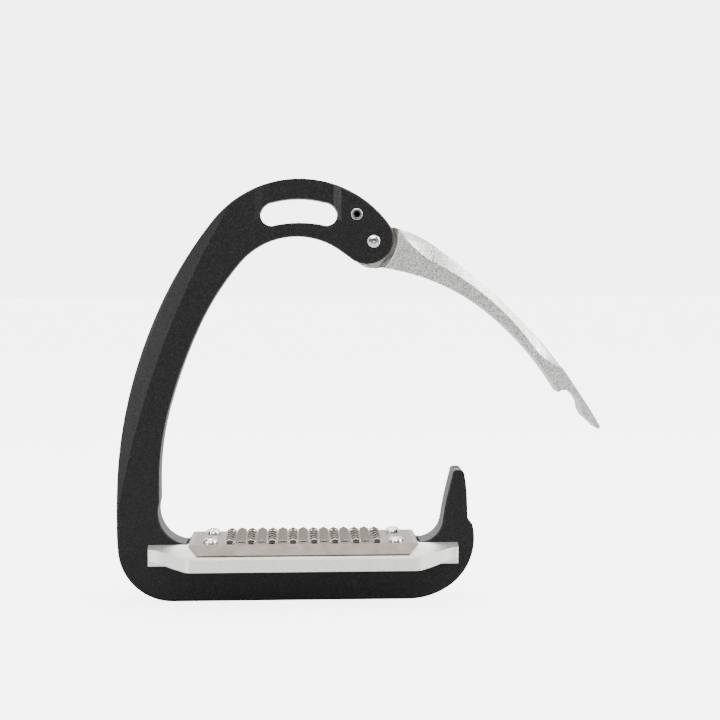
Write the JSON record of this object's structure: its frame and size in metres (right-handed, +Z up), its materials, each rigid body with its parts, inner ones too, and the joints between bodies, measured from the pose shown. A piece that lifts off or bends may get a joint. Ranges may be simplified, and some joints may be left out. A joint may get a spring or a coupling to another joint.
{
  "type": "stirrup iron",
  "caption": "Safety stirrup iron with a wide tread, toothed grip plate, slotted eye for the leather and an outer arm that swings open on a hinge.",
  "frame": {"origin": "middle of the flat under the frame's bottom bar", "axes": "+X towards the side that opens, +Y to the back, +Z up"},
  "size_m": [0.2036, 0.056, 0.177],
  "materials": {
    "black_coat": "satin black coat",
    "blasted_silver": "blasted, clear coated",
    "polished_steel": "polished",
    "bronze": "turned",
    "dark_polymer": "moulded",
    "steel": "bright",
    "magnet": "nickel plated, dark",
    "cast_silver": "fine satin",
    "stainless_sheet": "satin stainless sheet"
  },
  "bodies": {
    "stirrup": {"frame": "black_coat", "pivot_pin": "polished_steel", "pivot_screw": "polished_steel", "thrust_washer_front": "dark_polymer", "thrust_washer_back": "dark_polymer", "friction_spring": "steel", "hinge_lock_screw": "polished_steel", "catch_magnet": "magnet", "tread_base": "cast_silver", "grip_plate": "stainless_sheet", "plate_screw_front_left": "polished_steel", "plate_screw_front_right": "polished_steel", "plate_screw_back_left": "polished_steel", "plate_screw_back_right": "polished_steel", "base_screw_left": "steel", "base_screw_right": "steel"},
    "arm": {"release_arm": "blasted_silver", "pivot_bush": "bronze", "keeper_magnet": "magnet"}
  },
  "joints": [
    {"name": "arm_hinge", "type": "hinge", "parent": "stirrup", "child": "arm", "pos_m": [0.03, 0, 0.1508], "axis": [0, 1, 0], "range_deg": [0, 30]}
  ]
}
